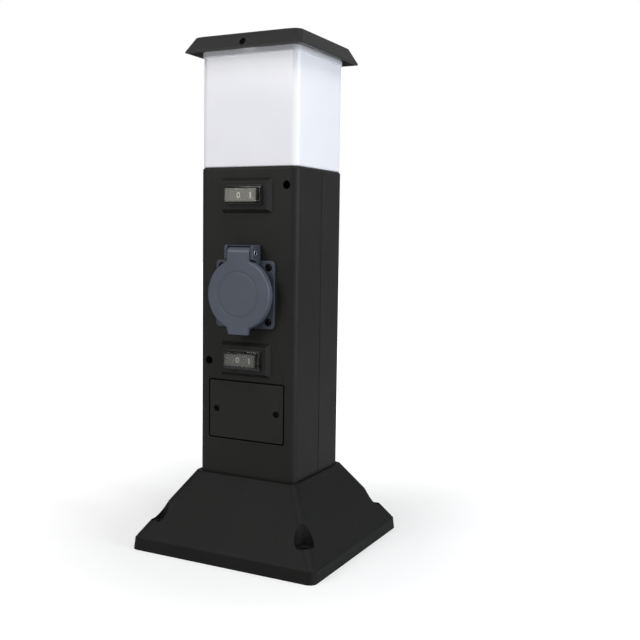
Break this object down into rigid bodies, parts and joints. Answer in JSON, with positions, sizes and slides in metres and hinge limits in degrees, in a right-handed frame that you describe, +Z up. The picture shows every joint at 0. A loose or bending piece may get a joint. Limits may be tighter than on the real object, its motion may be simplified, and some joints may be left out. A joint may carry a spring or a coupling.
{
  "type": "garden socket post",
  "caption": "Square garden post with a hinged-lid socket outlet, booted rocker switches and an opal lamp head under a hipped roof, on a screw-down plinth.",
  "frame": {"origin": "on the ground under the middle of the plinth", "axes": "+Z up the post, -Y out of the front face with the socket, +X to the right seen from the front"},
  "size_m": [0.1572, 0.1506, 0.385],
  "materials": {
    "charcoal": "moulded, fine spark texture",
    "blue_grey": "moulded, satin",
    "dark_plastic": "moulded",
    "insert_plastic": "moulded, satin",
    "opal": "moulded, milky",
    "boot_pvc": "moulded, see-through",
    "pale_plastic": "moulded",
    "rubber": "moulded",
    "steel": "plated",
    "brass": "pressed",
    "glass": "frosted",
    "brown_wire": "extruded",
    "blue_wire": "extruded",
    "green_wire": "extruded"
  },
  "bodies": {
    "post": {"base_plinth": "charcoal", "base_screws": "steel", "gland_body": "dark_plastic", "gland_cap": "dark_plastic", "gland_lock_nut": "dark_plastic", "gland_seal": "rubber", "front_shell": "charcoal", "rear_shell": "charcoal", "shell_screws": "steel", "access_panel": "charcoal", "panel_gasket": "rubber", "panel_screws": "steel", "terminal_block": "pale_plastic", "terminal_clamps": "brass", "terminal_block_screws": "steel", "upper_switch_body": "dark_plastic", "upper_boot": "boot_pvc", "upper_switch_tabs": "brass", "lower_switch_body": "dark_plastic", "lower_boot": "boot_pvc", "lower_switch_tabs": "brass", "socket_flange": "blue_grey", "socket_gasket": "rubber", "flange_screws": "steel", "socket_insert": "insert_plastic", "socket_contacts": "brass", "earth_strap": "brass", "lid_hinge_pin": "steel", "lid_spring": "steel", "lamp_plate": "pale_plastic", "lamp_plate_screws": "steel", "lamp_holder": "pale_plastic", "lamp_contact": "brass", "lamp_bulb": "glass", "lamp_screw_cap": "steel", "diffuser": "opal", "diffuser_seal": "rubber", "roof_cap": "charcoal", "roof_screws": "steel", "lamp_live_wire": "brown_wire", "lamp_neutral_wire": "blue_wire", "socket_live_wire": "brown_wire", "socket_neutral_wire": "blue_wire", "socket_earth_wire": "green_wire", "upper_feed_wire": "brown_wire", "lower_feed_wire": "brown_wire"},
    "lid": {"socket_lid": "blue_grey", "lid_seal": "rubber"},
    "upper_rocker": {"upper_rocker": "dark_plastic"},
    "lower_rocker": {"lower_rocker": "dark_plastic"}
  },
  "joints": [
    {"name": "lid_hinge", "type": "hinge", "parent": "post", "child": "lid", "pos_m": [0, -0.0455, 0.227], "axis": [-1, 0, 0], "range_deg": [0, 95], "stiffness_Nm_per_rad": 0.012, "springref_deg": -34.38, "deforming": ["lid_spring"]},
    {"name": "upper_rocker_tilt", "type": "hinge", "parent": "post", "child": "upper_rocker", "pos_m": [0, -0.039, 0.269], "axis": [0, 0, 1], "range_deg": [0, 14]},
    {"name": "lower_rocker_tilt", "type": "hinge", "parent": "post", "child": "lower_rocker", "pos_m": [0, -0.039, 0.1475], "axis": [0, 0, 1], "range_deg": [0, 14]}
  ]
}
